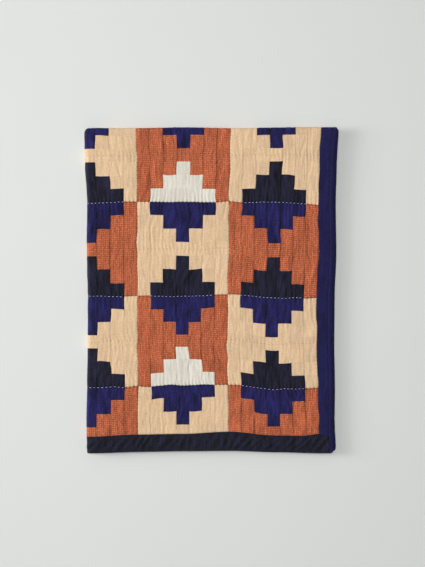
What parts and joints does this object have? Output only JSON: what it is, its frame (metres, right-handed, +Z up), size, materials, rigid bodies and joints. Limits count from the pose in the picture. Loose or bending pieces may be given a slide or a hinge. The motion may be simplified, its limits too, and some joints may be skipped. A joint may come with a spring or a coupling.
{
  "type": "folded patchwork quilt",
  "caption": "Pieced and hand-quilted cotton throw, folded in four and lying flat, its folds at the left and back edges and its open layers at the right and front.",
  "frame": {"origin": "centre of the folded stack's footprint, on the surface it lies on", "axes": "+Y towards the back fold, along the stack's long side; +X towards the open side edges; +Z up, through the layers"},
  "size_m": [0.7231, 0.926, 0.0302],
  "materials": {
    "apricot_cotton": "matt woven cotton, pieced and quilted; the patchwork's other colours are in the visual model",
    "indigo_cotton": "matt woven cotton, dark indigo",
    "ink_cotton": "matt woven cotton, nearly black"
  },
  "bodies": {
    "root": {"pieced_field": "apricot_cotton", "side_border_upper": "indigo_cotton", "side_border_lower": "indigo_cotton", "end_border_front": "ink_cotton", "end_border_inner": "ink_cotton", "side_binding_upper": "indigo_cotton", "side_binding_lower": "indigo_cotton"}
  },
  "joints": []
}
